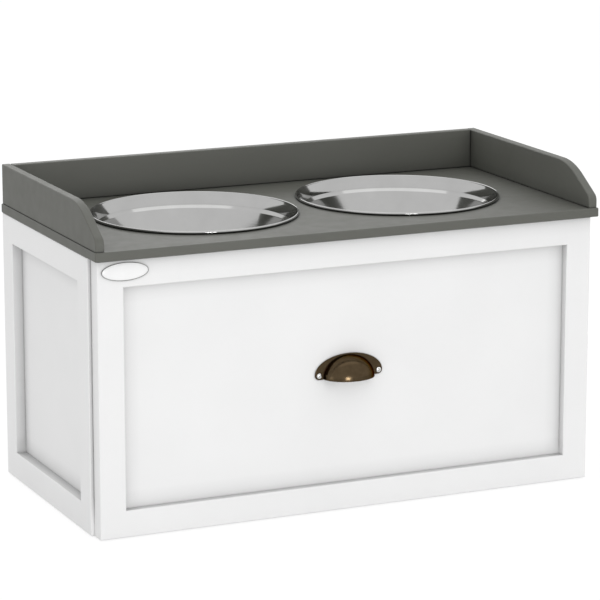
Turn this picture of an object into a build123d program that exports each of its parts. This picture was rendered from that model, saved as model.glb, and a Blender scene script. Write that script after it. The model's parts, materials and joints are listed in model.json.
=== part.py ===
from build123d import *

import os
from math import atan2, cos, degrees, radians, sin

# An elevated dog feeder: a framed cabinet with one storage drawer on roller runners,
# under a grey top with rails on three sides and two steel bowls hung in round holes.
# Millimetres. +X is to the right, the drawer front faces -Y, +Z is up.
# The origin is on the floor, at the middle of the whole feeder's width and depth.

# ---------------------------------------------------------------- driving dimensions
# Cabinet and top
overall_width = 600
overall_height = 361
top_depth = 300
top_thickness = 10
top_side_overhang = 1
top_front_overhang = 9
edge_break = 0.8
overrun = 1

# Rails round the back and sides of the top
rail_height = 45
rail_thickness = 10
rail_nose_height = 13
rail_edge_inset = 1.2
rail_front_inset = 2.4
rail_slope_run = 52
rail_nose_radius = 10
rail_shoulder_radius = 80

# Side frames, and the thin panels let into their backs
side_thickness = 15
side_member_width = 31
side_panel_thickness = 3
panel_lap = 8
panel_play = 0.5

# Boards inside the cabinet
back_panel_thickness = 6
floor_panel_thickness = 9
stretcher_thickness = 12
stretcher_height = 40

# Anti-slip pads under the side frames
pad_thickness = 1.5
pad_width = 9
pad_length = 34
pad_corner = 2
pad_end_inset = 8

# Drawer front
front_thickness = 18
front_member_width = 29.5
front_panel_thickness = 8
front_side_reveal = 4
front_top_gap = 1.5
front_back_gap = 1

# Drawer box
box_thickness = 12
box_height = 190
box_bottom_thickness = 4
box_groove_depth = 5
box_groove_height = 8
box_foot_chamfer = 1.2

# Roller runners, one pair on each side of the drawer
runner_gap = 12.5
runner_back_gap = 14
runner_sheet = 1.2
runner_bend_radius = 1.5
runner_setback = 2
runner_floor_gap = 8
track_height = 24
track_reach = 9.5
track_cut_margin = 2
slider_flange_reach = 9.5
slider_shelf_reach = 13
slider_shelf_lift = 1
slider_screw_height = 19
slider_screw_front = 42
slider_screw_rear = 84
roller_play = 0.3
roller_end_inset = 12.5
roller_width = 7
roller_rise = 0.8
axle_radius = 2.5
axle_fit = 0.1
axle_end_play = 0.2
axle_head_radius = 4.5
axle_head_thickness = 1

# Screws
screw_sides = 8
screw_fit = 0.05
runner_screw_radius = 1.75
runner_screw_length = 11
runner_screw_inset = 28.6
runner_screw_head_radius = 3.2
runner_screw_head_height = 1
front_screw_radius = 1.9
front_screw_length = 18
front_screw_head_radius = 4
front_screw_head_height = 1.6
front_screw_edge_x = 70
front_screw_edge_z = 35
pull_screw_radius = 1.5
pull_screw_length = 8
pull_screw_head_radius = 3.1
pull_screw_head_height = 1.9

# Cup pull
pull_cup_width = 62
pull_cup_radius = 23.5
pull_end_steps = 3
pull_wall = 1.4
pull_plate_width = 83
pull_plate_height = 27
pull_plate_thickness = 1.5
pull_plate_corner = 5
pull_screw_spacing = 71.5
pull_screw_height = 4.8
pull_below_middle = 4.5

# Bowls
bowl_back_margin = 29
bowl_front_margin = 39
bowl_rim_gap = 18
bowl_bead_height = 3.4
bowl_bead_bevel = 1
bowl_sheet = 0.8
bowl_sides = 60
bowl_depth = 60
bowl_collar_depth = 13
bowl_step_width = 8
bowl_step_drop = 3
bowl_floor_inset = 30
bowl_hole_gap = 0.5
bowl_rim_lap = 2.8
bowl_seat_gap = 0.3

# ---------------------------------------------------------------- derived places
half_width = overall_width / 2
side_half = half_width - top_side_overhang
inner_half = side_half - side_thickness
rail_bottom = overall_height - rail_height
top_bottom = rail_bottom - top_thickness
frame_bottom = pad_thickness
frame_height = top_bottom - frame_bottom

# Distances forward from the back face of the cabinet
front_face = top_depth - top_front_overhang
front_back = front_face - front_thickness
side_depth = front_back - front_back_gap
front_panel_face = front_back + front_panel_thickness
pull_front = front_panel_face + pull_cup_radius
overall_depth = max(top_depth, pull_front)
back_y = overall_depth / 2

# Runners: the track stands above the floor panel
runner_z = frame_bottom + floor_panel_thickness + runner_floor_gap
runner_front = side_depth - runner_setback
runner_rear = back_panel_thickness + runner_back_gap
runner_length = runner_front - runner_rear
roller_radius = track_height / 2 - runner_sheet - roller_play
cabinet_roller_z = runner_z + track_height + roller_rise - roller_radius
slider_roller_z = runner_z + track_height / 2
slider_top = track_height + roller_rise + roller_play + runner_sheet

# Drawer box
box_half = inner_half - runner_gap
box_inner_half = box_half - box_thickness
box_rear = runner_rear
box_bottom = runner_z + slider_shelf_lift + runner_sheet
box_top = box_bottom + box_height
box_front_inside = front_back - box_thickness
box_rear_inside = box_rear + box_thickness

# Drawer front and its pull
front_half = side_half - front_side_reveal
front_height = frame_height - front_top_gap
pull_z = frame_bottom + front_height / 2 - pull_below_middle

# Bowls: the bead rests on the top, and the collar passes through the hole
bowl_rim_radius = (top_depth - bowl_back_margin - bowl_front_margin) / 2
bowl_floor_radius = bowl_rim_radius - bowl_floor_inset
bowl_spacing = 2 * bowl_rim_radius + bowl_rim_gap
hole_radius = bowl_rim_radius - bowl_rim_lap
collar_radius = hole_radius - bowl_hole_gap
bead_bottom = rail_bottom + bowl_seat_gap
bowl_y = back_y - bowl_back_margin - bowl_rim_radius


# ---------------------------------------------------------------- helpers
def block(x, y, z):
    """A box between two limits along each axis."""
    sizes = [abs(high - low) for low, high in (x, y, z)]
    return Pos(min(x), min(y), min(z)) * Box(*sizes, align=(Align.MIN,) * 3)


def behind(*distances):
    """Y limits for distances forward from the cabinet's back face."""
    return [back_y - distance for distance in distances]


def across(half):
    """Limits either side of the middle."""
    return (-half, half)


def rod(radius, low, high):
    """A cylinder along Z between two heights."""
    return Pos(0, 0, low) * Cylinder(radius, high - low, align=(Align.CENTER, Align.CENTER, Align.MIN))


def mirrored(shape):
    """The same piece on the other side of the feeder."""
    return mirror(shape, about=Plane.YZ)


def facet_rod(radius, low, high):
    """A screw's round, drawn with few sides."""
    return extrude(Pos(0, 0, low) * RegularPolygon(radius, screw_sides), high - low)


def screw(radius, length, head_radius, head_height):
    """A flat-headed screw along Z: head above z = 0 and shank below."""
    return facet_rod(radius, -length, 0) + facet_rod(head_radius, 0, head_height)


def screw_hole(radius, length):
    """The hole that a screw's shank fills, open past the face its head bears on."""
    return facet_rod(radius + screw_fit, -length, overrun)


# ---------------------------------------------------------------- framed panels
def framed_panel(width, height, thickness, member, panel_thickness):
    """A frame with its face at y = 0 and its foot at z = 0, and a panel let into its back."""
    half = width / 2
    window_half = half - member
    ring = block(across(half), (0, thickness), (0, height))
    ring -= block(across(window_half), (0, thickness), (member, height - member))
    ring = chamfer(ring.faces().sort_by(Axis.Y)[0].edges(), edge_break)
    recess = thickness - panel_thickness
    seat_half = window_half + panel_lap
    seat_z = (member - panel_lap, height - member + panel_lap)
    ring -= block(across(seat_half), (recess, thickness), seat_z)
    panel_z = (seat_z[0] + panel_play, seat_z[1] - panel_play)
    between = across(window_half)
    depth = (0, thickness)
    return {
        "left_stile": ring & block((-half, -window_half), depth, (0, height)),
        "right_stile": ring & block((window_half, half), depth, (0, height)),
        "bottom_rail": ring & block(between, depth, (0, member)),
        "top_rail": ring & block(between, depth, (height - member, height)),
        "panel": block(across(seat_half - panel_play), (recess, thickness), panel_z),
    }


def side_frame():
    """The left side: the frame turned to face -X, drilled for the runner's screws."""
    pieces = framed_panel(
        side_depth, frame_height, side_thickness, side_member_width, side_panel_thickness
    )
    names = {
        "left_stile": "rear_stile",
        "right_stile": "front_stile",
        "bottom_rail": "bottom_rail",
        "top_rail": "top_rail",
        "panel": "panel",
    }
    place = Pos(-side_half, back_y - side_depth / 2, frame_bottom) * Rot(0, 0, -90)
    holes = [
        spot * screw_hole(runner_screw_radius, runner_screw_length)
        for spot in track_screw_spots()
    ]
    return {names[name]: place * piece - holes for name, piece in pieces.items()}


# ---------------------------------------------------------------- top and rails
def top_panel():
    """The grey top, with a round hole for each bowl."""
    board = block(across(half_width), behind(0, top_depth), (top_bottom, rail_bottom))
    board = chamfer(board.edges(), edge_break)
    for x in across(bowl_spacing / 2):
        board -= Pos(x, bowl_y, 0) * rod(hole_radius, top_bottom - overrun, rail_bottom + overrun)
    return board


def side_rail():
    """The left rail: level along the top, sloping down to a rounded nose at the front."""
    outer_x = rail_edge_inset - half_width
    rear = back_y - rail_edge_inset
    front = back_y - top_depth + rail_front_inset
    corners = [
        (rear, rail_bottom),
        (rear, overall_height),
        (front + rail_slope_run, overall_height),
        (front, rail_bottom + rail_nose_height),
        (front, rail_bottom),
    ]
    outline = Plane.YZ * make_face(Polyline(*corners, close=True))
    rail = Pos(outer_x, 0, 0) * extrude(outline, rail_thickness)
    upright = rail.edges().filter_by(Axis.X)
    shoulder = upright.sort_by_distance((outer_x, front + rail_slope_run, overall_height))[0]
    rail = fillet(shoulder, rail_shoulder_radius)
    upright = rail.edges().filter_by(Axis.X)
    nose = upright.sort_by_distance((outer_x, front, rail_bottom + rail_nose_height))[0]
    rail = fillet(nose, rail_nose_radius)
    cheeks = rail.faces().sort_by(Axis.X)
    return chamfer(cheeks[0].edges() + cheeks[-1].edges(), edge_break)


def rear_rail():
    """The rail along the back, between the side rails."""
    width = across(half_width - rail_edge_inset - rail_thickness)
    depth = behind(rail_edge_inset, rail_edge_inset + rail_thickness)
    board = block(width, depth, (rail_bottom, overall_height))
    return chamfer(board.edges(), edge_break)


# ---------------------------------------------------------------- boards in the cabinet
def floor_panel():
    """The cabinet's floor, between the side frames and in front of the back panel."""
    depth = behind(back_panel_thickness, side_depth)
    return block(across(inner_half), depth, (frame_bottom, frame_bottom + floor_panel_thickness))


def back_panel():
    """The board that closes the back, between the side frames."""
    depth = behind(0, back_panel_thickness)
    return block(across(inner_half), depth, (frame_bottom, top_bottom))


def stretcher(rear):
    """A board on edge under the top, its rear face at the given distance from the back."""
    depth = behind(rear, rear + stretcher_thickness)
    return block(across(inner_half), depth, (top_bottom - stretcher_height, top_bottom))


def foot_pads():
    """Four rubber pads, at the ends of both side frames."""
    pad = block(across(pad_width / 2), across(pad_length / 2), (0, pad_thickness))
    pad = chamfer(pad.edges().filter_by(Axis.Z), pad_corner)
    x = side_half - side_thickness / 2
    end = pad_end_inset + pad_length / 2
    spots = [Pos(s * x, y, 0) for s in (-1, 1) for y in behind(end, side_depth - end)]
    return [spot * pad for spot in spots]


# ---------------------------------------------------------------- runners
def from_side(reach):
    """X on the left, for a distance in from the cabinet side's inner face."""
    return -inner_half + reach


def strip(points):
    """Sheet bent along a line of (distance from the side, height) points, runner_length long."""
    line = FilletPolyline(*points, radius=runner_bend_radius)
    section = trace(line, runner_sheet)
    bent = extrude(Plane.XZ * section, runner_length)
    return Pos(from_side(0), back_y - runner_rear, runner_z) * bent


def cabinet_roller_spot():
    """On the axle line of the front roller, at the track's inner face, facing the drawer."""
    y = back_y - runner_front + roller_end_inset
    return Pos(from_side(runner_sheet), y, cabinet_roller_z) * Rot(0, 90, 0)


def slider_roller_spot():
    """On the axle line of the rear roller, at the slider's outer face, facing the cabinet side."""
    y = back_y - runner_rear - roller_end_inset
    return Pos(from_side(runner_gap - runner_sheet), y, slider_roller_z) * Rot(0, -90, 0)


def track_screw_spots():
    """Where the screws' heads bear on the track, heads towards the drawer."""
    depths = behind(runner_screw_inset, side_depth - runner_screw_inset)
    return [Pos(from_side(runner_sheet), y, slider_roller_z) * Rot(0, 90, 0) for y in depths]


def slider_screw_spots():
    """Where the screws' heads bear on the slider, heads towards the cabinet side."""
    depths = behind(runner_rear + slider_screw_rear, runner_front - slider_screw_front)
    x = from_side(runner_gap - runner_sheet)
    return [Pos(x, y, runner_z + slider_screw_height) * Rot(0, -90, 0) for y in depths]


def track():
    """The cabinet's member: a channel, its upper flange cut away over the front roller."""
    middle = runner_sheet / 2
    member = strip(
        [
            (track_reach, middle),
            (middle, middle),
            (middle, track_height - middle),
            (track_reach, track_height - middle),
        ]
    )
    cut_length = roller_end_inset + roller_radius + track_cut_margin
    cut_top = runner_z + track_height
    cut_z = (cut_top - runner_sheet - runner_bend_radius, cut_top + overrun)
    cut_x = (from_side(runner_sheet), from_side(track_reach + overrun))
    member -= block(cut_x, behind(runner_front + overrun, runner_front - cut_length), cut_z)
    member -= cabinet_roller_spot() * rod(axle_radius, -runner_sheet - overrun, overrun)
    for spot in track_screw_spots():
        member -= spot * screw_hole(runner_screw_radius, runner_screw_length)
    return member


def slider():
    """The drawer's member: a flange that rides the front roller, a web and a shelf."""
    middle = runner_sheet / 2
    web = runner_gap - middle
    member = strip(
        [
            (runner_gap - slider_flange_reach, slider_top - middle),
            (web, slider_top - middle),
            (web, slider_shelf_lift + middle),
            (runner_gap + slider_shelf_reach, slider_shelf_lift + middle),
        ]
    )
    member -= slider_roller_spot() * rod(axle_radius, -runner_sheet - overrun, overrun)
    for spot in slider_screw_spots():
        member -= spot * screw_hole(runner_screw_radius, runner_screw_length)
    return member


def roller():
    """A nylon roller along Z, just clear of the sheet whose face is at z = 0."""
    high = axle_end_play + roller_width
    return rod(roller_radius, axle_end_play, high) - rod(axle_radius + axle_fit, 0, high)


def axle():
    """A rivet along Z, its shank through the sheet and the roller."""
    shank_end = roller_width + 2 * axle_end_play
    shank = rod(axle_radius, -runner_sheet, shank_end)
    return shank + rod(axle_head_radius, shank_end, shank_end + axle_head_thickness)


# ---------------------------------------------------------------- drawer box
def box_groove():
    """The groove round the inside of the drawer box that holds its bottom."""
    low = box_bottom + box_groove_height
    depth = behind(box_rear_inside - box_groove_depth, box_front_inside + box_groove_depth)
    return block(across(box_inner_half + box_groove_depth), depth, (low, low + box_bottom_thickness))


def box_board(x, y):
    """One upright board of the drawer box, with its upper edges softened and the groove cut."""
    board = block(x, y, (box_bottom, box_top))
    board = chamfer(board.faces().sort_by(Axis.Z)[-1].edges(), edge_break)
    return board - box_groove()


def drawer_side():
    """The left side of the box, its lower outer edge cut to clear the runner's bend."""
    board = box_board((-box_half, -box_inner_half), behind(box_rear, front_back))
    foot = board.edges().filter_by(Axis.Y).sort_by_distance((-box_half, 0, box_bottom))[0]
    board = chamfer(foot, box_foot_chamfer)
    holes = [
        spot * screw_hole(runner_screw_radius, runner_screw_length) for spot in slider_screw_spots()
    ]
    return board - holes


def box_bottom_panel():
    """The thin bottom, in its groove."""
    low = box_bottom + box_groove_height
    reach = box_groove_depth - panel_play
    depth = behind(box_rear_inside - reach, box_front_inside + reach)
    return block(across(box_inner_half + reach), depth, (low, low + box_bottom_thickness))


def front_screw_spots():
    """Where the heads bear on the inside of the box's front board."""
    y = back_y - box_front_inside
    heights = (box_bottom + front_screw_edge_z, box_top - front_screw_edge_z)
    widths = across(box_inner_half - front_screw_edge_x)
    return [Pos(x, y, z) * Rot(-90, 0, 0) for x in widths for z in heights]


# ---------------------------------------------------------------- cup pull
def pull_place():
    """The middle of the pull's straight lower edge, on the panel."""
    return Pos(0, back_y - front_panel_face, pull_z)


def cup_outline(inset):
    """The cup seen from the front: a level crown, and round ends drawn as short straights."""
    radius = pull_cup_radius - inset
    crown_half = pull_cup_width / 2 - pull_cup_radius
    turns = [radians(90 * step / pull_end_steps) for step in range(pull_end_steps + 1)]
    right = [(crown_half + radius * cos(turn), radius * sin(turn)) for turn in turns]
    left = [(-x, z) for x, z in reversed(right)]
    return make_face(Polyline(*right, *left, close=True))


def plate():
    """The crescent plate: the upper half of an ellipse, round at its lower corners."""
    upright = Pos(0, pull_plate_height) * Rectangle(pull_plate_width, 2 * pull_plate_height)
    crescent = Ellipse(pull_plate_width / 2, pull_plate_height) & upright
    solid = extrude(Plane.XZ * (crescent - cup_outline(pull_wall)), pull_plate_thickness)
    corners = solid.edges().filter_by(Axis.Y).sort_by(Axis.X)
    return fillet([corners[0], corners[-1]], pull_plate_corner)


def cup_pull():
    """A cast cup, open below, on a crescent plate with a screw hole at each end."""
    wall = cup_outline(0) - cup_outline(pull_wall)
    cup = revolve(Plane.XZ * wall, Axis.X, 90)
    pull = plate() + cup
    for spot in pull_screw_spots():
        pull -= spot * screw_hole(pull_screw_radius, pull_screw_length)
    return pull_place() * pull


def pull_screw_spots():
    """Where the heads bear on the plate, seen from the pull's own middle."""
    y = -pull_plate_thickness
    return [Pos(x, y, pull_screw_height) * Rot(90, 0, 0) for x in across(pull_screw_spacing / 2)]


# ---------------------------------------------------------------- bowls
def frustum(*ends):
    """A cone's stump about Z between two (radius, height) rings, drawn with many flat sides."""
    (narrow_radius, narrow_z), (wide_radius, wide_z) = sorted(ends)
    height = abs(wide_z - narrow_z)
    taper = degrees(atan2(wide_radius - narrow_radius, height))
    stump = extrude(RegularPolygon(wide_radius, bowl_sides, major_radius=False), height, taper=taper)
    if wide_z > narrow_z:
        stump = mirror(stump, about=Plane.XY)
    return Pos(0, 0, wide_z) * stump


def ringed(rings):
    """A round solid about Z through (radius, height) rings, from the lowest up."""
    return Part() + [frustum(lower, upper) for lower, upper in zip(rings, rings[1:])]


def bowl_solid(inset, top):
    """The bowl's floor, tapered wall, step and collar as a solid, at an inset from its outer skin."""
    floor = bead_bottom - bowl_depth + inset
    step_top = bead_bottom - bowl_collar_depth + inset
    return ringed(
        [
            (bowl_floor_radius - inset, floor),
            (collar_radius - bowl_step_width - inset, step_top - bowl_step_drop),
            (collar_radius - inset, step_top),
            (collar_radius - inset, top),
        ]
    )


def bowl():
    """A spun steel bowl about Z, its rim rolled into a bead that rests on the top."""
    bead_top = bead_bottom + bowl_bead_height
    bead = ringed(
        [
            (bowl_rim_radius - bowl_bead_bevel, bead_bottom),
            (bowl_rim_radius, bead_bottom + bowl_bead_height / 2),
            (bowl_rim_radius - bowl_bead_bevel, bead_top),
        ]
    )
    return bowl_solid(0, bead_top) + bead - bowl_solid(bowl_sheet, bead_top + overrun)


# ---------------------------------------------------------------- the whole feeder
def build():
    """Every piece, by the name it is written under."""
    pieces = {}

    def both_sides(name, piece):
        pieces["left_" + name] = piece
        pieces["right_" + name] = mirrored(piece)

    for name, piece in side_frame().items():
        both_sides("side_" + name, piece)
    pieces["floor_panel"] = floor_panel()
    pieces["back_panel"] = back_panel()
    pieces["front_stretcher"] = stretcher(side_depth - stretcher_thickness)
    pieces["rear_stretcher"] = stretcher(back_panel_thickness)
    pieces["foot_pads"] = foot_pads()
    pieces["top_panel"] = top_panel()
    both_sides("rail", side_rail())
    pieces["rear_rail"] = rear_rail()

    both_sides("runner_track", track())
    both_sides("track_roller", cabinet_roller_spot() * roller())
    both_sides("runner_slider", slider())
    both_sides("slider_roller", slider_roller_spot() * roller())
    for name, spot in (("track", cabinet_roller_spot()), ("slider", slider_roller_spot())):
        left_axle = spot * axle()
        pieces[name + "_roller_axles"] = [left_axle, mirrored(left_axle)]

    fixing = screw(
        runner_screw_radius, runner_screw_length, runner_screw_head_radius, runner_screw_head_height
    )
    track_screws = [spot * fixing for spot in track_screw_spots()]
    slider_screws = [spot * fixing for spot in slider_screw_spots()]
    pieces["track_screws"] = track_screws + [mirrored(item) for item in track_screws]
    pieces["slider_screws"] = slider_screws + [mirrored(item) for item in slider_screws]

    front = framed_panel(
        2 * front_half, front_height, front_thickness, front_member_width, front_panel_thickness
    )
    front_place = Pos(0, back_y - front_face, frame_bottom)
    front_holes = [
        spot * screw_hole(front_screw_radius, front_screw_length) for spot in front_screw_spots()
    ]
    pull_holes = [
        pull_place() * spot * screw_hole(pull_screw_radius, pull_screw_length)
        for spot in pull_screw_spots()
    ]
    for name, piece in front.items():
        pieces["drawer_front_" + name] = front_place * piece
    pieces["drawer_front_panel"] -= front_holes + pull_holes

    both_sides("drawer_side", drawer_side())
    between = across(box_inner_half)
    pieces["drawer_back"] = box_board(between, behind(box_rear, box_rear_inside))
    pieces["drawer_inner_front"] = box_board(between, behind(box_front_inside, front_back))
    pieces["drawer_inner_front"] -= front_holes
    pieces["drawer_bottom"] = box_bottom_panel()
    front_screw = screw(
        front_screw_radius, front_screw_length, front_screw_head_radius, front_screw_head_height
    )
    pieces["drawer_front_screws"] = [spot * front_screw for spot in front_screw_spots()]

    pieces["cup_pull"] = cup_pull()
    pull_screw = screw(
        pull_screw_radius, pull_screw_length, pull_screw_head_radius, pull_screw_head_height
    )
    pieces["cup_pull_screws"] = [pull_place() * spot * pull_screw for spot in pull_screw_spots()]

    left_bowl = Pos(-bowl_spacing / 2, bowl_y, 0) * bowl()
    both_sides("bowl", left_bowl)
    return pieces


os.makedirs("parts", exist_ok=True)
for node, shape in build().items():
    solids = Compound(children=shape) if isinstance(shape, list) else shape
    export_step(solids, f"parts/{node}.step")
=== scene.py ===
import json
import math

import bmesh
import bpy
from mathutils import Matrix, Vector


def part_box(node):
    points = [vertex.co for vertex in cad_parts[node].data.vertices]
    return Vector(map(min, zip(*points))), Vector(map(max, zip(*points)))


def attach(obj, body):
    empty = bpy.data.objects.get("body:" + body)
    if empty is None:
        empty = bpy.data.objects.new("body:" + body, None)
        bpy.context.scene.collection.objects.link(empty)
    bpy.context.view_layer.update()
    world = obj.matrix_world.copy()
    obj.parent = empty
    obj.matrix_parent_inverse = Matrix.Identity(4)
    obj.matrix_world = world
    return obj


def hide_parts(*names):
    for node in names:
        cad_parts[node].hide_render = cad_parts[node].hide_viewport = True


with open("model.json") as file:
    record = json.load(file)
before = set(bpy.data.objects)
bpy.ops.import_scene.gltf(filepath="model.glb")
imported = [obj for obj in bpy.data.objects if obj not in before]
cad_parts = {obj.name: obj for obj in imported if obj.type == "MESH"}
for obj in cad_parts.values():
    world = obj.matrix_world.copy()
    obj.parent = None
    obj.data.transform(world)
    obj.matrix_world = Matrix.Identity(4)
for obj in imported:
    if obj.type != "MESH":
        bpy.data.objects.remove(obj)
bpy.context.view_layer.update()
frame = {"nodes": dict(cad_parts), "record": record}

# An elevated dog feeder: steel bowls in a railed grey top, over a white cabinet with one drawer.
# Everything is in metres, in the frame's own axes. MM turns the sizes written below into metres.
MM = 0.001

NODES = frame["nodes"]


# ---------------------------------------------------------------- camera
CAMERA_PLACE = Vector((-1.3684, -3.0192, 0.9619))
CAMERA_YAW = math.radians(24.386)
CAMERA_PITCH = math.radians(12.814)
CAMERA_LENS = 180.67
CAMERA_SENSOR = 36
CAMERA_FAR = 30


def plain_view():
    """Colours come out as they are written."""
    bpy.context.scene.view_settings.view_transform = "Standard"


def make_camera():
    """A long lens, a little above the feeder and to its left."""
    data = bpy.data.cameras.new("camera")
    data.sensor_width = CAMERA_SENSOR
    data.lens = CAMERA_LENS
    data.clip_end = CAMERA_FAR
    camera = bpy.data.objects.new("camera", data)
    camera.location = CAMERA_PLACE
    camera.rotation_euler = (math.radians(90) - CAMERA_PITCH, 0, -CAMERA_YAW)
    bpy.context.scene.collection.objects.link(camera)
    bpy.context.scene.camera = camera


# ---------------------------------------------------------------- light
def area_light(name, place, aim, width, height, power):
    """A softbox at a place, turned to a point."""
    data = bpy.data.lights.new(name, "AREA")
    data.shape = "RECTANGLE"
    data.size = width
    data.size_y = height
    data.energy = power
    lamp = bpy.data.objects.new(name, data)
    lamp.location = place
    lamp.rotation_mode = "QUATERNION"
    lamp.rotation_quaternion = (Vector(aim) - Vector(place)).to_track_quat("-Z", "Y")
    bpy.context.scene.collection.objects.link(lamp)


WORLD_LIGHT = 0.87
WHITE = (1, 1, 1, 1)
# Softboxes: place, the point they face, width, height and power. The front one gives the pull its
# highlight, and the top one gives the bowls their bright ring.
LAMPS = {
    "front_lamp": ((-0.3, -2.3, 0.16), (0, 0, 0.15), 0.5, 0.5, 10.8),
    "left_lamp": ((-2.3, -0.3, 0.16), (0, 0, 0.15), 1.2, 0.3, 1.5),
    "back_lamp": ((0.4, 2.2, 1.4), (0, 0, 0.3), 1.2, 1.2, 3.7),
    "top_lamp": ((0.3, -0.05, 2.3), (0.3, -0.05, 0), 2.6, 1.8, 6),
}


def make_light():
    """Softboxes in a surround that is white to see or mirror, and dimmer as a light."""
    world = bpy.data.worlds.new("studio")
    bpy.context.scene.world = world
    world.use_nodes = True
    nodes, links = world.node_tree.nodes, world.node_tree.links
    nodes.clear()
    path = nodes.new("ShaderNodeLightPath")
    seen = path.outputs["Is Camera Ray"]
    for ray in ("Is Glossy Ray", "Is Transmission Ray"):
        either = nodes.new("ShaderNodeMath")
        either.operation = "MAXIMUM"
        links.new(seen, either.inputs[0])
        links.new(path.outputs[ray], either.inputs[1])
        seen = either.outputs[0]
    light = nodes.new("ShaderNodeBackground")
    light.inputs["Strength"].default_value = WORLD_LIGHT
    backdrop = nodes.new("ShaderNodeBackground")
    backdrop.inputs["Strength"].default_value = 1
    for shader in (light, backdrop):
        shader.inputs["Color"].default_value = WHITE
    mix = nodes.new("ShaderNodeMixShader")
    links.new(seen, mix.inputs["Fac"])
    links.new(light.outputs[0], mix.inputs[1])
    links.new(backdrop.outputs[0], mix.inputs[2])
    output = nodes.new("ShaderNodeOutputWorld")
    links.new(mix.outputs[0], output.inputs["Surface"])
    for name, (place, aim, width, height, power) in LAMPS.items():
        area_light(name, place, aim, width, height, power)


# ---------------------------------------------------------------- mesh helpers
# Points nearer than WELD become one; a radius under ON_AXIS is a single point on the axis
WELD = 0.01 * MM
ON_AXIS = 1e-7


def mesh_object(name, build, smooth_angle):
    """A new object from a bmesh that build fills in, smooth where faces meet below an angle."""
    mesh = bpy.data.meshes.new(name)
    shape = bmesh.new()
    build(shape)
    bmesh.ops.recalc_face_normals(shape, faces=shape.faces)
    for face in shape.faces:
        face.smooth = True
    for edge in shape.edges:
        if len(edge.link_faces) == 2:
            edge.smooth = edge.calc_face_angle() < math.radians(smooth_angle)
    shape.to_mesh(mesh)
    shape.free()
    item = bpy.data.objects.new(name, mesh)
    bpy.context.scene.collection.objects.link(item)
    return item


def rounded(corners, steps=6):
    """A line through (x, y, radius) corners, each turned by an arc of its radius."""
    line = []
    for index, (x, y, radius) in enumerate(corners):
        here = Vector((x, y))
        if index in (0, len(corners) - 1) or radius == 0:
            line.append(here)
            continue
        to_last = (Vector(corners[index - 1][:2]) - here).normalized()
        to_next = (Vector(corners[index + 1][:2]) - here).normalized()
        half_turn = to_last.angle(to_next) / 2
        centre = here + (to_last + to_next).normalized() * (radius / math.sin(half_turn))
        first = here + to_last * (radius / math.tan(half_turn)) - centre
        sweep = first.angle_signed(here + to_next * (radius / math.tan(half_turn)) - centre)
        for step in range(steps + 1):
            turn = Matrix.Rotation(-sweep * step / steps, 2)
            line.append(centre + turn @ first)
    return line


def lathe(shape, line, sides, place=Matrix()):
    """Turns a line of (radius, height) points about Z; a point at radius 0 closes the end."""
    rings = []
    for radius, height in line:
        count = 1 if radius < ON_AXIS else sides
        ring = []
        for side in range(count):
            turn = 2 * math.pi * side / sides
            spot = Vector((radius * math.cos(turn), radius * math.sin(turn), height))
            ring.append(shape.verts.new(place @ spot))
        rings.append(ring)
    for lower, upper in zip(rings, rings[1:]):
        for side in range(sides):
            after = (side + 1) % sides
            corners = [lower[side % len(lower)], lower[after % len(lower)]]
            corners += [upper[after % len(upper)], upper[side % len(upper)]]
            corners = list(dict.fromkeys(corners))
            if len(corners) > 2:
                shape.faces.new(corners)


def keep_modifiers(item):
    """Makes an object's modifiers part of its mesh."""
    ready = item.evaluated_get(bpy.context.evaluated_depsgraph_get())
    mesh = bpy.data.meshes.new_from_object(ready)
    item.modifiers.clear()
    item.data = mesh


def weld(item):
    """Merges doubled points and drops the slivers that a boolean leaves in a mesh."""
    shape = bmesh.new()
    shape.from_mesh(item.data)
    bmesh.ops.remove_doubles(shape, verts=shape.verts, dist=WELD)
    bmesh.ops.triangulate(shape, faces=[face for face in shape.faces if len(face.verts) > 4])
    bmesh.ops.dissolve_degenerate(shape, edges=shape.edges, dist=WELD)
    shape.to_mesh(item.data)
    shape.free()


def soften(item, width, angle):
    """Rounds an object's edges that turn by more than an angle."""
    bevel = item.modifiers.new("soften", "BEVEL")
    bevel.width = width
    bevel.segments = 2
    bevel.limit_method = "ANGLE"
    bevel.angle_limit = math.radians(angle)
    bevel.harden_normals = True
    keep_modifiers(item)


def loose_boxes(node):
    """The lowest and highest corners of each separate solid in a CAD node, from left to right."""
    shape = bmesh.new()
    shape.from_mesh(NODES[node].data)
    bmesh.ops.remove_doubles(shape, verts=shape.verts, dist=WELD)
    left = set(shape.verts)
    boxes = []
    while left:
        reached, front = set(), [left.pop()]
        while front:
            vertex = front.pop()
            reached.add(vertex)
            for edge in vertex.link_edges:
                other = edge.other_vert(vertex)
                if other in left:
                    left.remove(other)
                    front.append(other)
        low = Vector(min(vertex.co[axis] for vertex in reached) for axis in range(3))
        high = Vector(max(vertex.co[axis] for vertex in reached) for axis in range(3))
        boxes.append((low, high))
    shape.free()
    return sorted(boxes, key=lambda box: tuple(round(value, 4) for value in box[0]))


# ---------------------------------------------------------------- materials
def material(name):
    """A new material, its node tree, shader and object coordinates."""
    made = bpy.data.materials.new(name)
    made.use_nodes = True
    tree = made.node_tree
    shader = tree.nodes["Principled BSDF"]
    place = tree.nodes.new("ShaderNodeTexCoord").outputs["Object"]
    return made, tree, shader, place


def noise(tree, place, scale, detail):
    """Noise over object coordinates, with about scale waves to the metre."""
    texture = tree.nodes.new("ShaderNodeTexNoise")
    texture.inputs["Scale"].default_value = scale
    texture.inputs["Detail"].default_value = detail
    tree.links.new(place, texture.inputs["Vector"])
    return texture.outputs["Fac"]


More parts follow.
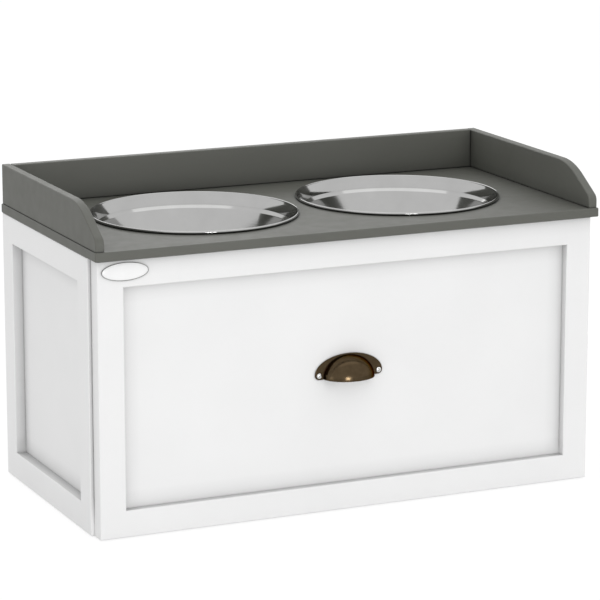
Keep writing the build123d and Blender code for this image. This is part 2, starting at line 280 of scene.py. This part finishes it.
def ramp(tree, value, low, high, first, last):
    """Maps a value's range from low to high onto first to last, which may be numbers or colours."""
    if isinstance(first, tuple):
        node = tree.nodes.new("ShaderNodeValToRGB")
        node.color_ramp.elements[0].position = low
        node.color_ramp.elements[1].position = high
        node.color_ramp.elements[0].color = (*first, 1)
        node.color_ramp.elements[1].color = (*last, 1)
        tree.links.new(value, node.inputs["Fac"])
        return node.outputs["Color"]
    node = tree.nodes.new("ShaderNodeMapRange")
    for key, number in (("From Min", low), ("From Max", high), ("To Min", first), ("To Max", last)):
        node.inputs[key].default_value = number
    tree.links.new(value, node.inputs["Value"])
    return node.outputs["Result"]


def bump(tree, shader, height, distance, strength):
    """Bumps a shader's normal by a height that spans a distance in metres."""
    node = tree.nodes.new("ShaderNodeBump")
    node.inputs["Distance"].default_value = distance
    node.inputs["Strength"].default_value = strength
    tree.links.new(height, node.inputs["Height"])
    tree.links.new(node.outputs["Normal"], shader.inputs["Normal"])


CORNER_SAMPLES = 8


def shade_corners(tree, colour, reach, corner, open_face, depth, amount=None):
    """Deepens a colour in inside corners, which soft light alone leaves paler than the photograph.

    The light that reaches a point from within reach goes from corner to open_face. The colour is
    multiplied by depth at corner and left alone at open_face, in the share that amount gives.
    """
    corner_light = tree.nodes.new("ShaderNodeAmbientOcclusion")
    corner_light.samples = CORNER_SAMPLES
    corner_light.inputs["Distance"].default_value = reach
    level = ramp(tree, corner_light.outputs["AO"], corner, open_face, depth, 1.0)
    mix = tree.nodes.new("ShaderNodeMix")
    mix.data_type = "RGBA"
    mix.blend_type = "MULTIPLY"
    mix.inputs["Factor"].default_value = 1
    if amount is not None:
        tree.links.new(amount, mix.inputs["Factor"])
    tree.links.new(colour, mix.inputs["A"])
    tree.links.new(level, mix.inputs["B"])
    return mix.outputs["Result"]


# Lacquer's corner shade: how far a wide corner and a joint reach, how dark a wide corner is, the
# heights between which it fades out towards the floor, and the upward tilt that makes a ledge
CORNER_REACH = 20 * MM
CORNER_DEPTH = 0.7
JOINT_REACH = 2.5 * MM
FLOOR_FADE = (15 * MM, 45 * MM)
LEDGE_TILT = (0.6, 0.9)


def rising(tree, vector, span):
    """0 to 1 as a vector's Z goes through a span."""
    split = tree.nodes.new("ShaderNodeSeparateXYZ")
    tree.links.new(vector, split.inputs[0])
    return ramp(tree, split.outputs["Z"], *span, 0, 1)


def lacquer(name, dark, light, rough, specular, joint, ledge=None):
    """Sprayed lacquer on board: faint cloudiness, orange peel, uneven gloss, and painted shade in its
    corners.

    The last two arguments are how dark the painted shade gets in a tight joint and on a ledge inside a
    corner.
    """
    made, tree, shader, place = material(name)
    clouds = noise(tree, place, 9, 3)
    colour = ramp(tree, clouds, 0.35, 0.65, dark, light)
    # Painted shade in wide corners and tight joints, faded out near the floor.
    above_floor = rising(tree, place, FLOOR_FADE)
    colour = shade_corners(tree, colour, CORNER_REACH, 0.45, 0.97, CORNER_DEPTH, above_floor)
    colour = shade_corners(tree, colour, JOINT_REACH, 0.45, 0.9, joint, above_floor)
    # Painted shade: faces that turn up inside a corner get darker still.
    if ledge is not None:
        upward = rising(tree, place.node.outputs["Normal"], LEDGE_TILT)
        colour = shade_corners(tree, colour, CORNER_REACH, 0.5, 0.97, ledge, upward)
    tree.links.new(colour, shader.inputs["Base Color"])
    gloss = noise(tree, place, 60, 2)
    tree.links.new(ramp(tree, gloss, 0.3, 0.7, rough - 0.03, rough + 0.04), shader.inputs["Roughness"])
    shader.inputs["Specular IOR Level"].default_value = specular
    bump(tree, shader, noise(tree, place, 700, 2), 0.00004, 0.5)
    return made


def powder_coat(name, dark, light):
    """Epoxy powder baked on steel: close, rounded texture."""
    made, tree, shader, place = material(name)
    clouds = noise(tree, place, 25, 2)
    tree.links.new(ramp(tree, clouds, 0.3, 0.7, dark, light), shader.inputs["Base Color"])
    shader.inputs["Roughness"].default_value = 0.42
    bump(tree, shader, noise(tree, place, 900, 3), 0.00008, 0.7)
    return made


def moulded(name, dark, light, rough):
    """Plain moulded nylon or rubber, slightly mottled and finely pitted."""
    made, tree, shader, place = material(name)
    mottle = noise(tree, place, 120, 3)
    tree.links.new(ramp(tree, mottle, 0.3, 0.7, dark, light), shader.inputs["Base Color"])
    tree.links.new(ramp(tree, mottle, 0.2, 0.8, rough, rough + 0.1), shader.inputs["Roughness"])
    bump(tree, shader, noise(tree, place, 1500, 2), 0.00004, 0.5)
    return made


def plated(name, dark, light, rough):
    """Zinc-plated steel: spangled, a little cloudy."""
    made, tree, shader, place = material(name)
    shader.inputs["Metallic"].default_value = 1
    clouds = noise(tree, place, 260, 3)
    tree.links.new(ramp(tree, clouds, 0.3, 0.7, dark, light), shader.inputs["Base Color"])
    tree.links.new(ramp(tree, clouds, 0.3, 0.7, rough, rough + 0.12), shader.inputs["Roughness"])
    return made


def bowl_steel(name):
    """Polished stainless steel, with the faint rings of its spinning and painted shade in its tight
    corners.
    """
    made, tree, shader, place = material(name)
    shader.inputs["Metallic"].default_value = 1
    smears = noise(tree, place, 30, 3)
    colour = ramp(tree, smears, 0.3, 0.7, (0.44, 0.44, 0.435), (0.47, 0.47, 0.465))
    # Painted shade: tight corners, such as where the rim's bead meets the top, go nearly black.
    colour = shade_corners(tree, colour, 3.5 * MM, 0.35, 0.95, 0.04)
    tree.links.new(colour, shader.inputs["Base Color"])
    tree.links.new(ramp(tree, smears, 0.3, 0.7, 0.08, 0.12), shader.inputs["Roughness"])
    flat = tree.nodes.new("ShaderNodeVectorMath")
    flat.operation = "MULTIPLY"
    flat.inputs[1].default_value = (1, 1, 0)
    tree.links.new(place, flat.inputs[0])
    radius = tree.nodes.new("ShaderNodeVectorMath")
    radius.operation = "LENGTH"
    tree.links.new(flat.outputs[0], radius.inputs[0])
    rings = noise(tree, radius.outputs["Value"], 1100, 2)
    bump(tree, shader, rings, 0.000012, 0.5)
    return made


def bronze(name):
    """Dark oil-rubbed bronze: brown, with a faint mottle, blackened in its corners partly as patina
    and partly as painted shade.
    """
    made, tree, shader, place = material(name)
    shader.inputs["Metallic"].default_value = 1
    shader.inputs["Specular Tint"].default_value = (0.3, 0.25, 0.19, 1)
    mottle = noise(tree, place, 220, 4)
    colour = ramp(tree, mottle, 0.3, 0.7, (0.072, 0.050, 0.028), (0.092, 0.066, 0.038))
    # Darker in tight corners, such as round the screws and where the cup meets the plate, partly
    # patina and partly painted shade.
    colour = shade_corners(tree, colour, 1.3 * MM, 0.35, 0.85, 0.05)
    tree.links.new(colour, shader.inputs["Base Color"])
    tree.links.new(ramp(tree, mottle, 0.3, 0.7, 0.16, 0.21), shader.inputs["Roughness"])
    bump(tree, shader, noise(tree, place, 900, 3), 0.00003, 0.5)
    return made


def badge_face(name):
    """A glossy white enamel face."""
    made, tree, shader, place = material(name)
    clouds = noise(tree, place, 90, 2)
    colour = ramp(tree, clouds, 0.3, 0.7, (0.93, 0.93, 0.93), (0.96, 0.96, 0.96))
    tree.links.new(colour, shader.inputs["Base Color"])
    shader.inputs["Roughness"].default_value = 0.2
    bump(tree, shader, noise(tree, place, 800, 2), 0.00002, 0.4)
    return made


def make_materials():
    """Every slot's material and the screws' and badge's own, by name."""
    made = {}
    # For the lacquers, the last one or two numbers are how dark the painted shade gets in tight joints
    # and on ledges.
    for name, make, *looks in (
        ("white_lacquer", lacquer, (0.86, 0.86, 0.86), (0.88, 0.88, 0.88), 0.42, 0.35, 0.7, 0.6),
        ("white_board", lacquer, (0.83, 0.83, 0.82), (0.86, 0.86, 0.85), 0.5, 0.3, 0.5),
        ("grey_lacquer", lacquer, (0.094, 0.096, 0.082), (0.101, 0.103, 0.089), 0.5, 0.6, 0.3),
        ("white_epoxy", powder_coat, (0.80, 0.80, 0.79), (0.85, 0.85, 0.84)),
        ("white_nylon", moulded, (0.76, 0.76, 0.73), (0.82, 0.82, 0.80), 0.4),
        ("pad_rubber", moulded, (0.018, 0.018, 0.018), (0.032, 0.032, 0.031), 0.75),
        ("zinc_steel", plated, (0.55, 0.55, 0.54), (0.72, 0.72, 0.70), 0.25),
        ("bowl_steel", bowl_steel),
        ("bronze", bronze),
        ("bright_screw", plated, (0.74, 0.74, 0.73), (0.84, 0.84, 0.83), 0.14),
        ("badge_face", badge_face),
        ("badge_rim", plated, (0.16, 0.16, 0.16), (0.24, 0.24, 0.23), 0.3),
    ):
        made[name] = make(name, *looks)
    return made


def dress(materials):
    """Gives each CAD node its slot's material."""
    for entry in frame["record"]["subparts"]:
        item = NODES[entry["node"]]
        item.data.materials.clear()
        item.data.materials.append(materials[entry["material_slot"]])


# ---------------------------------------------------------------- bowls
BOWL_SIDES = 160
BOWL_SHEET = 0.8 * MM
BOWL_FLOOR_RADIUS = 94 * MM
BOWL_FOOT_ROUND = 18 * MM
BOWL_BEND = 1.2 * MM
BOWL_COLLAR_WIDTH = 3 * MM
BOWL_COLLAR_DEPTH = 11.4 * MM
BOWL_STEP_WIDTH = 3.4 * MM
BOWL_STEP_DROP = 3.4 * MM
BOWL_BEAD_WIDTH = 2.2 * MM
BOWL_BEAD_HEIGHT = 3.4 * MM
BOWL_RIM_LAP = 3.3 * MM
# The rolled bead, as degrees round its oval section from where the outer skin meets it
BEAD_START = -115
BEAD_SWEEP = 285
BEAD_STEPS = 24


def bowl_line(low, high, rim):
    """A bowl's section as one line: up the outer skin, round the bead and down the inner skin."""
    mouth = rim - BOWL_RIM_LAP
    step = mouth - BOWL_COLLAR_WIDTH
    wall = step - BOWL_STEP_WIDTH
    bead_bottom = high - BOWL_BEAD_HEIGHT
    step_top = bead_bottom - BOWL_COLLAR_DEPTH

    def skin(inset):
        return [
            (0, low + inset, 0),
            (BOWL_FLOOR_RADIUS - inset, low + inset, BOWL_FOOT_ROUND - inset),
            (wall - inset, step_top - BOWL_STEP_DROP + inset / 2, BOWL_BEND + inset),
            (step - inset, step_top + inset / 2, BOWL_BEND),
            (mouth - inset, bead_bottom, 0),
        ]

    half_width, half_height = BOWL_BEAD_WIDTH / 2, BOWL_BEAD_HEIGHT / 2
    bead_middle = Vector((rim - half_width, high - half_height))
    bead = []
    for index in range(BEAD_STEPS + 1):
        turn = math.radians(BEAD_START + BEAD_SWEEP * index / BEAD_STEPS)
        around = Vector((half_width * math.cos(turn), half_height * math.sin(turn)))
        bead.append(bead_middle + around)
    return rounded(skin(0)) + bead + rounded(skin(BOWL_SHEET))[::-1]


def make_bowl(side, materials):
    """A spun bowl in place of its plain CAD node, smooth at every bend."""
    node = side + "_bowl"
    low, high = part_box(node)
    middle = (low + high) / 2
    rim = (high.x - low.x) / 2
    line = bowl_line(low.z, high.z, rim)
    item = mesh_object(
        side + "_spun_bowl", lambda shape: lathe(shape, line, BOWL_SIDES), smooth_angle=60
    )
    item.location = (middle.x, middle.y, 0)
    item.data.materials.append(materials["bowl_steel"])
    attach(item, node)
    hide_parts(node)


# ---------------------------------------------------------------- cup pull
PULL_CUP_WIDTH = 60 * MM
PULL_CUP_HEIGHT = 25.5 * MM
PULL_CUP_DEPTH = 23.5 * MM
PULL_WALL = 1.4 * MM
PULL_PLATE_WIDTH = 81 * MM
PULL_PLATE_HEIGHT = 27 * MM
PULL_PLATE_THICKNESS = 1.5 * MM
PULL_PLATE_CORNER = 5 * MM
PULL_PLATE_EDGE = 0.5 * MM
PULL_CUP_EDGE = 0.4 * MM
PULL_ARC_STEPS = 20
PULL_CORNER_STEPS = 8


def arc(x, z, radius, start, end, steps):
    """Points of an arc in the plane of the panel, from start to end degrees."""
    turns = [math.radians(start + (end - start) * step / steps) for step in range(steps + 1)]
    return [(x + radius * math.cos(turn), z + radius * math.sin(turn)) for turn in turns]


def cup_outline(inset):
    """The cup seen from the front, half an oval from its right end over the crown to its left end."""
    half, height = PULL_CUP_WIDTH / 2 - inset, PULL_CUP_HEIGHT - inset
    turns = [math.pi * step / (2 * PULL_ARC_STEPS) for step in range(2 * PULL_ARC_STEPS + 1)]
    return [(half * math.cos(turn), height * math.sin(turn)) for turn in turns]


def add_cup(shape, place):
    """The cup's shell: its outline swept a quarter turn down about its straight lower edge.

    Every row of a skin starts and ends in the same two points, its right and left end.
    """
    skins = []
    for inset in (0, PULL_WALL):
        rows = []
        for step in range(PULL_ARC_STEPS + 1):
            turn = math.radians(90 * step / PULL_ARC_STEPS)
            row = []
            for x, z in cup_outline(inset):
                depth = z * PULL_CUP_DEPTH / PULL_CUP_HEIGHT
                row.append(place @ Vector((x, -depth * math.sin(turn), z * math.cos(turn))))
            rows.append(row)
        right, left = shape.verts.new(rows[0][0]), shape.verts.new(rows[0][-1])
        grid = [[right, *[shape.verts.new(spot) for spot in row[1:-1]], left] for row in rows]
        for upper, lower in zip(grid, grid[1:]):
            for index in range(len(upper) - 1):
                corners = [upper[index], upper[index + 1], lower[index + 1], lower[index]]
                shape.faces.new(list(dict.fromkeys(corners)))
        skins.append(grid)
    outer, inner = skins
    for row in (0, -1):
        for index in range(len(outer[0]) - 1):
            shape.faces.new(
                [outer[row][index], inner[row][index], inner[row][index + 1], outer[row][index + 1]]
            )


def add_plate(shape, place):
    """The crescent plate round the cup, with rounded lower corners."""
    half, corner = PULL_PLATE_WIDTH / 2, PULL_PLATE_CORNER
    lift = PULL_PLATE_HEIGHT - corner
    outline = arc(half - corner, corner, corner, -90, 0, PULL_CORNER_STEPS)
    for step in range(1, 2 * PULL_ARC_STEPS):
        turn = math.pi * step / (2 * PULL_ARC_STEPS)
        outline.append((half * math.cos(turn), corner + lift * math.sin(turn)))
    outline += arc(-half + corner, corner, corner, 180, 270, PULL_CORNER_STEPS)
    outline += cup_outline(PULL_WALL)[::-1]
    sides = []
    for y in (-PULL_PLATE_THICKNESS, 0):
        sides.append([shape.verts.new(place @ Vector((x, y, z))) for x, z in outline])
    front, back = sides
    shape.faces.new(front)
    shape.faces.new(back[::-1])
    for index in range(len(front)):
        shape.faces.new([front[index - 1], front[index], back[index], back[index - 1]])


def make_pull(materials):
    """The cast cup and its plate, in place of their plain CAD node."""
    low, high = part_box("cup_pull")
    place = Matrix.Translation(((low.x + high.x) / 2, high.y, low.z))
    plate_piece = mesh_object("pull_plate", lambda shape: add_plate(shape, place), smooth_angle=30)
    soften(plate_piece, PULL_PLATE_EDGE, angle=40)
    cup_piece = mesh_object("pull_cup", lambda shape: add_cup(shape, place), smooth_angle=50)
    soften(cup_piece, PULL_CUP_EDGE, angle=50)
    for item in (plate_piece, cup_piece):
        item.data.materials.append(materials["bronze"])
        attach(item, "drawer")
        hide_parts("cup_pull")


# ---------------------------------------------------------------- screws
SCREW_SIDES = 32
DOME_STEPS = 8
# The straight part of a head's edge, and the shank's radius at its tip, as shares of the whole
HEAD_EDGE = 0.25
SHANK_TIP = 0.4
# A shank's radius as a share of the narrowest width of the plain screw
SHANK_SHARE = 0.25
# The recess: arm and width by the head's radius, bottom and top by the head's height
RECESS_ARM = 0.62
RECESS_WIDTH = 0.24
RECESS_BOTTOM = 0.45
RECESS_TOP = 1.5


def add_screw(shape, place, head_radius, head_height, shank_radius, shank_length):
    """A round-headed screw along +Z, its head's underside at z = 0."""
    dome = []
    for step in range(DOME_STEPS + 1):
        turn = math.radians(90 * step / DOME_STEPS)
        rise = HEAD_EDGE + (1 - HEAD_EDGE) * math.sin(turn)
        dome.append((head_radius * math.cos(turn), head_height * rise))
    line = [(0, -shank_length), (shank_radius * SHANK_TIP, -shank_length)]
    line += [(shank_radius, -shank_length + shank_radius), (shank_radius, 0), (head_radius, 0)]
    lathe(shape, line + dome, SCREW_SIDES, place)


def add_recess(shape, place, head_radius, head_height):
    """The cross-shaped prism that a screw's recess is cut with."""
    arm, side = head_radius * RECESS_ARM, head_radius * RECESS_WIDTH / 2
    quarter = [(arm, -side), (arm, side), (side, side)]
    outline = []
    for turn in range(4):
        spin = Matrix.Rotation(math.radians(90 * turn), 2)
        outline += [spin @ Vector(point) for point in quarter]
    rings = []
    for height in (head_height * RECESS_BOTTOM, head_height * RECESS_TOP):
        rings.append([shape.verts.new(place @ Vector((x, y, height))) for x, y in outline])
    lower, upper = rings
    shape.faces.new(lower[::-1])
    shape.faces.new(upper)
    for index in range(len(outline)):
        shape.faces.new([lower[index - 1], lower[index], upper[index], upper[index - 1]])


# Each group: the body it rides on, the way its heads face, and the heads' radius and height
SCREWS = {
    "cup_pull_screws": ("drawer", "-Y", 3.1 * MM, 1.9 * MM),
    "drawer_front_screws": ("drawer", "+Y", 4 * MM, 1.6 * MM),
    "track_screws": ("cabinet", "inward", 3.2 * MM, 1 * MM),
    "slider_screws": ("drawer", "outward", 3.2 * MM, 1 * MM),
}
# How a screw built along +Z turns to face each way
FACING = {
    "-Y": Matrix.Rotation(math.radians(90), 4, "X"),
    "+Y": Matrix.Rotation(math.radians(-90), 4, "X"),
    "+X": Matrix.Rotation(math.radians(90), 4, "Y"),
    "-X": Matrix.Rotation(math.radians(-90), 4, "Y"),
}


def screw_place(low, high, facing, head_height):
    """Where a screw's head meets what it holds, turned the way the head faces."""
    middle = (low + high) / 2
    if facing in ("inward", "outward"):
        facing = "-X" if (middle.x > 0) == (facing == "inward") else "+X"
    axis = "XYZ".index(facing[1])
    if facing[0] == "+":
        middle[axis] = high[axis] - head_height
    else:
        middle[axis] = low[axis] + head_height
    return Matrix.Translation(middle) @ FACING[facing], (high - low)[axis]


def make_screws(node, materials):
    """Round-headed, cross-recessed screws in place of a group of plain ones."""
    body, facing, head_radius, head_height = SCREWS[node]
    for number, (low, high) in enumerate(loose_boxes(node), 1):
        place, whole = screw_place(low, high, facing, head_height)
        shank = min(high - low) * SHANK_SHARE
        item = mesh_object(
            f"{node[:-1]}_{number}",
            lambda shape: add_screw(
                shape, place, head_radius, head_height, shank, whole - head_height
            ),
            smooth_angle=50,
        )
        cutter = mesh_object(
            "cutter", lambda shape: add_recess(shape, place, head_radius, head_height), smooth_angle=40
        )
        cut = item.modifiers.new("recess", "BOOLEAN")
        cut.object = cutter
        cut.solver = "EXACT"
        keep_modifiers(item)
        weld(item)
        bpy.data.objects.remove(cutter)
        item.data.materials.append(materials["bright_screw"])
        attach(item, body)
        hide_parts(node)


# ---------------------------------------------------------------- badge
BADGE_MIDDLE = (-263.9 * MM, 292.1 * MM)
BADGE_HALF_WIDTH = 26.4 * MM
BADGE_HALF_HEIGHT = 9.8 * MM
BADGE_THICKNESS = 1.2 * MM
BADGE_RIM = 0.5 * MM
BADGE_SIDES = 96


def badge_rings(shape, place, rings, filled):
    """Ovals at (inset, height), joined in turn, and then filled at both ends or joined into a ring."""
    loops = []
    for inset, height in rings:
        loop = []
        for side in range(BADGE_SIDES):
            turn = 2 * math.pi * side / BADGE_SIDES
            x = (BADGE_HALF_WIDTH - inset) * math.cos(turn)
            z = (BADGE_HALF_HEIGHT - inset) * math.sin(turn)
            loop.append(shape.verts.new(place @ Vector((x, -height, z))))
        loops.append(loop)
    if not filled:
        loops.append(loops[0])
    for lower, upper in zip(loops, loops[1:]):
        for side in range(BADGE_SIDES):
            after = (side + 1) % BADGE_SIDES
            shape.faces.new([lower[side], lower[after], upper[after], upper[side]])
    if filled:
        shape.faces.new(loops[0][::-1])
        shape.faces.new(loops[-1])


def make_badge(materials):
    """A blank enamelled oval, faintly domed, in a thin metal rim, on the drawer front's top rail."""
    x, z = BADGE_MIDDLE
    rail_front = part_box("drawer_front_top_rail")[0].y
    place = Matrix.Translation((x, rail_front, z))
    top, rim = BADGE_THICKNESS, BADGE_RIM
    rim_rings = [
        (0, 0),
        (0, top * 0.7),
        (0.25 * rim, top),
        (0.75 * rim, top),
        (rim, top * 0.7),
        (rim, 0),
    ]
    face_rings = [
        (rim, 0),
        (rim, top * 0.6),
        (rim * 1.5, top * 0.72),
        (4 * MM, top * 0.85),
        (8 * MM, top * 0.9),
    ]
    pieces = (
        ("badge_rim", rim_rings, False, "zinc_steel"),
        ("badge_face", face_rings, True, "white_lacquer"),
    )
    for name, rings, filled, slot in pieces:
        item = mesh_object(
            name, lambda shape: badge_rings(shape, place, rings, filled), smooth_angle=50
        )
        item.data.materials.append(materials[name])
        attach(item, "drawer")


# ---------------------------------------------------------------- floor
FLOOR_SIZE = 30
# What the floor gives back as a surface, and what the camera sees of it: a faint surface that
# keeps the shadow, over a glow that brings it to the backdrop's white
FLOOR_COLOUR = (0.8, 0.8, 0.8, 1)
FLOOR_FAINT = (0.18, 0.18, 0.18, 1)
FLOOR_GLOW = (0.86, 0.86, 0.86, 1)


def make_floor():
    """A pale floor that keeps the object's shadow and is white to the camera elsewhere."""
    bpy.ops.mesh.primitive_plane_add(size=FLOOR_SIZE, location=(0, 0, 0))
    floor = bpy.context.object
    floor.name = "floor"
    made = bpy.data.materials.new("floor")
    made.use_nodes = True
    nodes, links = made.node_tree.nodes, made.node_tree.links
    nodes.clear()
    matt = nodes.new("ShaderNodeBsdfDiffuse")
    matt.inputs["Color"].default_value = FLOOR_COLOUR
    glow = nodes.new("ShaderNodeEmission")
    glow.inputs["Strength"].default_value = 1
    glow.inputs["Color"].default_value = FLOOR_GLOW
    faint = nodes.new("ShaderNodeBsdfDiffuse")
    faint.inputs["Color"].default_value = FLOOR_FAINT
    seen = nodes.new("ShaderNodeAddShader")
    links.new(glow.outputs[0], seen.inputs[0])
    links.new(faint.outputs[0], seen.inputs[1])
    path = nodes.new("ShaderNodeLightPath")
    mix = nodes.new("ShaderNodeMixShader")
    links.new(path.outputs["Is Camera Ray"], mix.inputs["Fac"])
    links.new(matt.outputs[0], mix.inputs[1])
    links.new(seen.outputs[0], mix.inputs[2])
    output = nodes.new("ShaderNodeOutputMaterial")
    links.new(mix.outputs[0], output.inputs["Surface"])
    floor.data.materials.append(made)


# ---------------------------------------------------------------- the scene
plain_view()
make_camera()
make_light()
make_floor()
MATERIALS = make_materials()
dress(MATERIALS)
for bowl_side in ("left", "right"):
    make_bowl(bowl_side, MATERIALS)
make_pull(MATERIALS)
for screw_group in SCREWS:
    make_screws(screw_group, MATERIALS)
make_badge(MATERIALS)
